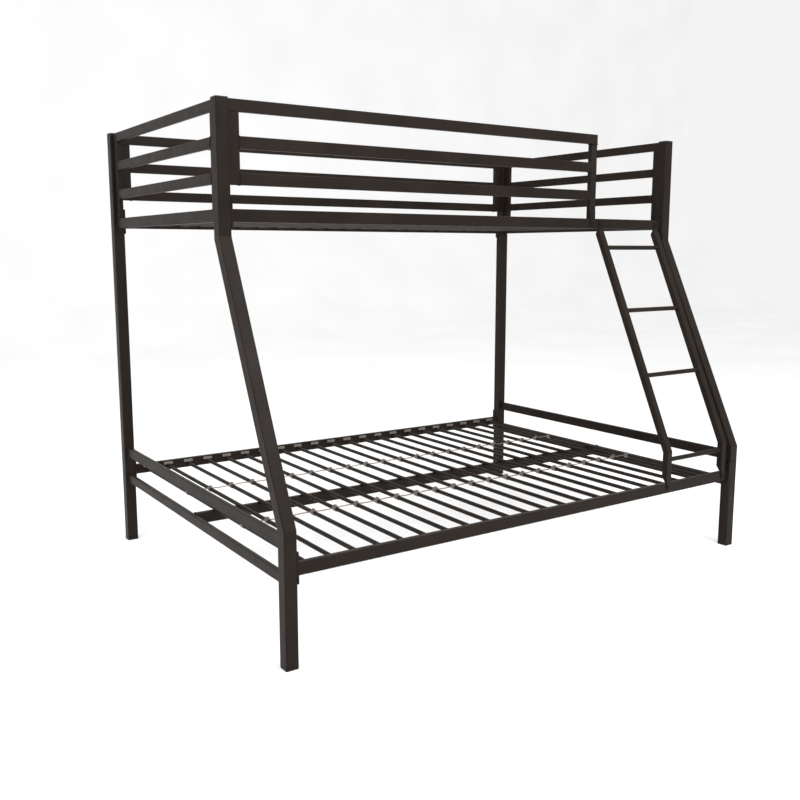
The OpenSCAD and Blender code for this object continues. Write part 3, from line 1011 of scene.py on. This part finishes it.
@dataclass
class SlatFittings:
    """Holders at the slat ends, clips round the lower slats and the wires between the clips.

    Attributes:
        plastic: Finish of the holders.
        zinc: Finish of the clips and wires.
        slats: Number of slats in a bunk.
        slat_radius: Outer radius of a slat.
        holder_wide: Width of a holder along the rail.
        holder_thick: Depth of a holder off the rail.
        holder_round: Radius of a holder's corners.
        holder_soft: Radius of the soft edge of a holder's front.
        holder_lap: How far a holder reaches down past a slat's top.
        clip_wide: Width of a clip along its slat.
        hook_wide: Width of a clip's hook across its slat.
        band: Thickness of a clip's band.
        wire_radius: Radius of a tie wire.
        sag: How far alternate wires bend up or down in the middle.
        clip_gap: Play between a clip's band and its slat.
        hook_sunk: Height over the slat at which a hook starts, inside the band.
        hook_high: Height over the slat at which a hook ends.
        hook_corner: Corner radius of a hook.
        hook_share: Share of the clip's width that the hook takes at its foot.
        hook_narrow: Share of its width and of its length that a hook loses on the way up.
        wire_gap: Distance from a slat's side to a wire's end, inside the band.
    """

    plastic: bpy.types.Material
    zinc: bpy.types.Material
    slats: int = 22
    slat_radius: float = 7.0 * MM
    holder_wide: float = 38.0 * MM
    holder_thick: float = 4.0 * MM
    holder_round: float = 3.5 * MM
    holder_soft: float = 1.2 * MM
    holder_lap: float = 1.0 * MM
    clip_wide: float = 20.0 * MM
    hook_wide: float = 10.0 * MM
    band: float = 1.9 * MM
    wire_radius: float = 2.0 * MM
    sag: float = 1.6 * MM
    clip_gap: float = 0.15 * MM
    hook_sunk: float = 1.0 * MM
    hook_high: float = 6.0 * MM
    hook_corner: float = 1.6 * MM
    hook_share: float = 0.8
    hook_narrow: tuple[float, float] = (0.25, 0.2)
    wire_gap: float = 1.6 * MM

    def slat_places(self) -> np.ndarray:
        """Works out the X of every slat, evenly spaced over the lower row's box.

        Returns:
            Array of shape (slats,).
        """
        low, high = box_of("lower_slats")
        return np.linspace(low[0] + self.slat_radius, high[0] - self.slat_radius, self.slats)

    def holder(self, high: float, sign: int) -> Surface:
        """Makes one holder standing off a rail, its middle at the origin.

        The outline is a rounded rectangle; rows step off the rail at full size and then draw in
        along a quarter circle to the plain front face.

        Args:
            high: Height of the holder.
            sign: 1 if it stands off towards +Y, -1 towards -Y.

        Returns:
            The closed holder.
        """
        soft = self.holder_soft
        turn = np.linspace(0, math.pi / 2, 4)
        off = [0.0, *(float(self.holder_thick - soft + soft * math.sin(a)) for a in turn)]
        insets = [0.0, *(float(soft * (1 - math.cos(a))) for a in turn)]
        loops = [
            rounded_loop(
                high - 2 * inset, self.holder_wide - 2 * inset, self.holder_round - inset, 3
            )
            for inset in insets
        ]
        rings = np.stack(
            [
                np.column_stack([loop, np.full(len(loop), reach)])
                for loop, reach in zip(loops, off)
            ]
        )
        if sign < 0:
            rings = rings[:, ::-1] * np.array([1.0, 1.0, -1.0])
        part = Surface()
        first = part.grid(rings @ ring_frame(Axis.Y), False, True)
        part.lid(first, rings.shape[1], True)
        part.lid(first + (len(off) - 1) * rings.shape[1], rings.shape[1], False)
        return part

    def build_holders(self) -> None:
        """Builds the holders of both bunks on the inner faces of the four long rails."""
        holders = Surface()
        slat_x = self.slat_places()
        # The holders' top in the CAD and the upper slats give the height of every holder.
        upper_low, upper_high = box_of("upper_slats")
        holder_foot = (upper_low[2] + upper_high[2]) / 2 + self.slat_radius - self.holder_lap
        tall = box_of("slat_holders")[1][2] - holder_foot
        for bunk, front, rear in (
            ("lower_slats", "front_side_rail", "rear_side_rail"),
            ("upper_slats", "front_deck_rail", "rear_deck_rail"),
        ):
            bunk_low, bunk_high = box_of(bunk)
            centre = (bunk_low[2] + bunk_high[2]) / 2
            z = centre + self.slat_radius - self.holder_lap + tall / 2
            for sign, face in ((1, box_of(front)[1][1]), (-1, box_of(rear)[0][1])):
                moves = np.stack([slat_x, np.full(self.slats, face), np.full(self.slats, z)], 1)
                holders.repeat(self.holder(tall, sign), moves)
        piece = holders.build("moulded_slat_holders", self.plastic)
        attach(piece, "root")
        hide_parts("slat_holders")
        LOG.info("moulded_slat_holders: %d faces", len(piece.data.polygons))

    def clip(self) -> Surface:
        """Makes one clip round a slat along Y, its slat's middle at the origin.

        The band is a ring of rounded-rectangle section, wide along the slat and thin off it. The
        hook is a rounded bar that rises from inside the band and narrows evenly to its top.

        Returns:
            The closed clip.
        """
        part = Surface()
        turn = np.arange(24) * math.pi / 12
        section = rounded_loop(self.band, self.clip_wide, self.band * 0.4, 2)
        radius = self.slat_radius + self.clip_gap + self.band / 2 + section[:, 0]
        ring = np.stack(
            [
                radius[None] * np.cos(turn)[:, None],
                np.broadcast_to(section[:, 1], (24, len(section))),
                radius[None] * np.sin(turn)[:, None],
            ],
            -1,
        )
        part.grid(ring, True, True)
        rise = np.linspace(0, 1, 5)
        outline = rounded_loop(
            self.hook_wide, self.clip_wide * self.hook_share, self.hook_corner, 2
        )
        start = self.slat_radius + self.hook_sunk
        top = self.slat_radius + self.hook_high
        shrink = 1 - rise[:, None] * np.array(self.hook_narrow)
        across = outline[None] * shrink[:, None]
        level = start * (1 - rise) + top * rise
        up = np.broadcast_to(level[:, None, None], (len(rise), len(outline), 1))
        bar = np.concatenate([across, up], -1)
        first = part.grid(bar, False, True)
        part.lid(first, len(outline), True)
        part.lid(first + (len(rise) - 1) * len(outline), len(outline), False)
        return part

    def wire(self, length: float, lift: float) -> Surface:
        """Makes one wire along X from the origin, bowed by a half sine of the given lift.

        The centre line is z = lift * sin(pi * t) for t from 0 to 1; each section is a circle
        across the X axis, close enough to square on for so slight a bow.

        Args:
            length: Distance between the wire's ends.
            lift: Rise of the middle, negative for a sag.

        Returns:
            The closed wire.
        """
        rows, sides = 13, 8
        t = np.linspace(0, 1, rows)
        turn = np.arange(sides) * 2 * math.pi / sides
        bow = lift * np.sin(math.pi * t)
        local = np.stack(
            [
                np.broadcast_to(self.wire_radius * np.cos(turn), (rows, sides)),
                self.wire_radius * np.sin(turn)[None] + bow[:, None],
                np.broadcast_to(length * t[:, None], (rows, sides)),
            ],
            -1,
        )
        part = Surface()
        first = part.grid(local @ ring_frame(Axis.X), False, True)
        part.lid(first, sides, True)
        part.lid(first + (rows - 1) * sides, sides, False)
        return part

    def build_ties(self) -> None:
        """Builds the clips and, between them, wires bowed up and down in turn."""
        slat_x = self.slat_places()
        low, high = box_of("tie_wires")
        slat_low, slat_high = box_of("lower_slats")
        slat_z = (slat_low[2] + slat_high[2]) / 2
        wire_z = (low[2] + high[2]) / 2
        across = np.array([low[1], high[1]]) + np.array([1, -1]) * (high[2] - low[2]) / 2
        clips = Surface()
        links = Surface()
        reach = self.slat_radius + self.wire_gap
        length = slat_x[1] - slat_x[0] - 2 * reach
        for y in across:
            moves = np.stack([slat_x, np.full(self.slats, y), np.full(self.slats, slat_z)], 1)
            clips.repeat(self.clip(), moves)
            for lift, start in ((self.sag, 0), (-self.sag, 1)):
                at = slat_x[start:-1:2] + reach
                moves = np.stack([at, np.full(len(at), y), np.full(len(at), wire_z)], 1)
                links.repeat(self.wire(length, lift), moves)
        for surface, name, node in (
            (clips, "folded_slat_clips", "slat_clips"),
            (links, "bowed_tie_wires", "tie_wires"),
        ):
            piece = surface.build(name, self.zinc)
            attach(piece, "root")
            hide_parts(node)
            LOG.info("%s: %d faces", name, len(piece.data.polygons))


def floor_paper() -> bpy.types.Material:
    """Builds matt white studio paper, whose fibres give the eye an even tone and no highlight.

    Returns:
        The finished material.
    """
    s = Shader("matt_white_studio_paper")
    # The change of tone across the paper is about 900 mm from light to light.
    cloud = s.add("ShaderNodeTexNoise", {"Vector": s.place, "Scale": cells_per_metre(900)})
    drift = s.add(
        "ShaderNodeMapRange", {"Value": cloud.outputs["Fac"], "From Min": 0.3, "From Max": 0.7}
    )
    tone = s.add(
        "ShaderNodeMix",
        {
            MIX_FACTOR: drift.outputs["Result"],
            MIX_FIRST: linear_colour("#fafafa"),
            MIX_SECOND: linear_colour("#ffffff"),
        },
        data_type="RGBA",
    )
    s.feed(s.surface, "Base Color", tone.outputs[MIX_RESULT])
    s.feed(s.surface, "Roughness", 0.9)
    s.feed(s.surface, "Specular IOR Level", 0.1)
    return s.material


@dataclass(frozen=True)
class Backdrop:
    """The pale floor, a wide sheet that curves up into a wall far behind the bed.

    Attributes:
        half: Half the floor's width, and how far it runs in front of the bed.
        flat: How far it runs flat behind the bed.
        curve: Radius of the curve between floor and wall.
        wall: Height of the wall.
        columns: Number of points across.
        rows: Number of points along the flat part.
        curve_rows: Number of points along the curve.
    """

    half: float = 14.0
    flat: float = 7.0
    curve: float = 3.0
    wall: float = 12.0
    columns: int = 29
    rows: int = 22
    curve_rows: int = 12

    def build(self) -> None:
        """Builds the sheet: a flat run, a quarter circle and a wall, carried straight across."""
        along = np.linspace(-self.half, self.half, self.columns)
        turn = np.linspace(0.1, math.pi / 2, self.curve_rows)
        curve_run = self.flat + self.curve * np.sin(turn)
        run = np.concatenate([np.linspace(-self.half, self.flat, self.rows), curve_run])
        rise = np.concatenate([np.zeros(self.rows), self.curve * (1 - np.cos(turn))])
        run = np.append(run, run[-1])
        rise = np.append(rise, self.wall)
        size = (len(run), self.columns)
        points = np.stack(
            [
                np.broadcast_to(along[None], size),
                np.broadcast_to(run[:, None], size),
                np.broadcast_to(rise[:, None], size),
            ],
            -1,
        )
        surface = Surface()
        surface.grid(points, False, False)
        floor = surface.build("studio_floor", floor_paper())


@dataclass(frozen=True)
class SoftBox:
    """A soft square studio light.

    Attributes:
        name: Name of the light.
        place: Where it hangs, in metres.
        aim: The point it faces.
        size: Side of its square, in metres.
        watts: Its power.
    """

    name: str
    place: tuple[float, float, float]
    aim: tuple[float, float, float]
    size: float
    watts: float

    def hang(self) -> None:
        """Makes the light and turns it to the point it faces."""
        data = bpy.data.lights.new(self.name, "AREA")
        data.shape = "SQUARE"
        data.size = self.size
        data.energy = self.watts
        lamp = bpy.data.objects.new(self.name, data)
        lamp.location = self.place
        towards = Vector(self.aim) - Vector(self.place)
        lamp.rotation_euler = towards.to_track_quat("-Z", "Y").to_euler()
        bpy.context.scene.collection.objects.link(lamp)


SOFT_BOXES = (
    SoftBox("soft_box_left", (-4.2, -1.6, 3.4), (0, 0, 0.8), 3.0, 70),
    SoftBox("soft_box_top", (-0.5, -1.0, 5.0), (0, 0, 0.8), 4.0, 110),
    SoftBox("soft_box_front", (0.7, -3.3, 3.3), (-1.0, -0.5, 0.8), 1.6, 70),
)


def make_studio() -> None:
    """Makes the floor, the even white surroundings and the soft lights."""
    Backdrop().build()
    world = bpy.data.worlds.new("even_white_room")
    world.use_nodes = True
    back = world.node_tree.nodes["Background"]
    back.inputs["Color"].default_value = linear_colour("#ffffff")
    back.inputs["Strength"].default_value = 0.9
    bpy.context.scene.world = world
    for box in SOFT_BOXES:
        box.hang()
    bpy.context.scene.view_settings.view_transform = "Standard"


def make_camera() -> None:
    """Makes the camera: a slightly raised three-quarter view from the front left."""
    data = bpy.data.cameras.new("camera")
    data.sensor_width = 36.0
    data.lens = 40.632
    data.shift_x = 0.0008
    data.shift_y = -0.0168
    camera = bpy.data.objects.new("camera", data)
    camera.location = (-2.0524, -2.8504, 1.1602)
    camera.rotation_euler = (math.radians(90) - 0.1499, 0.0, -0.594)
    bpy.context.scene.collection.objects.link(camera)
    bpy.context.scene.camera = camera


def main() -> None:
    """Builds the finishes, the fittings, the studio and the camera."""
    logging.basicConfig(level=logging.INFO, format="%(name)s: %(message)s")
    zinc = PlatedSteel("zinc_plated_steel_drawn", "#938a83", "#756c66", 0.46)
    oxide = PlatedSteel("black_oxide_steel_turned", "#2e2a27", "#211e1c", 0.42)
    holder = MouldedPlastic("grey_polypropylene_moulded", "#776e67", "#655d57", 0.5)
    cap = MouldedPlastic("black_polyethylene_moulded", "#242220", "#2c2a27", 0.5)
    finishes = {
        "powder_coated_steel": PowderCoat().material(),
        "zinc_plated_steel": zinc.material(),
        "blackened_steel": oxide.material(),
        "holder_plastic": holder.material(),
        "cap_plastic": cap.material(),
    }
    Frame(finishes).dress()
    WeldBeads(finishes["powder_coated_steel"]).build()
    SocketBolts(finishes["blackened_steel"]).build()
    PostCaps(finishes["cap_plastic"]).build()
    fittings = SlatFittings(finishes["holder_plastic"], finishes["zinc_plated_steel"])
    fittings.build_holders()
    fittings.build_ties()
    make_studio()
    make_camera()


if __name__ == "__main__":
    main()
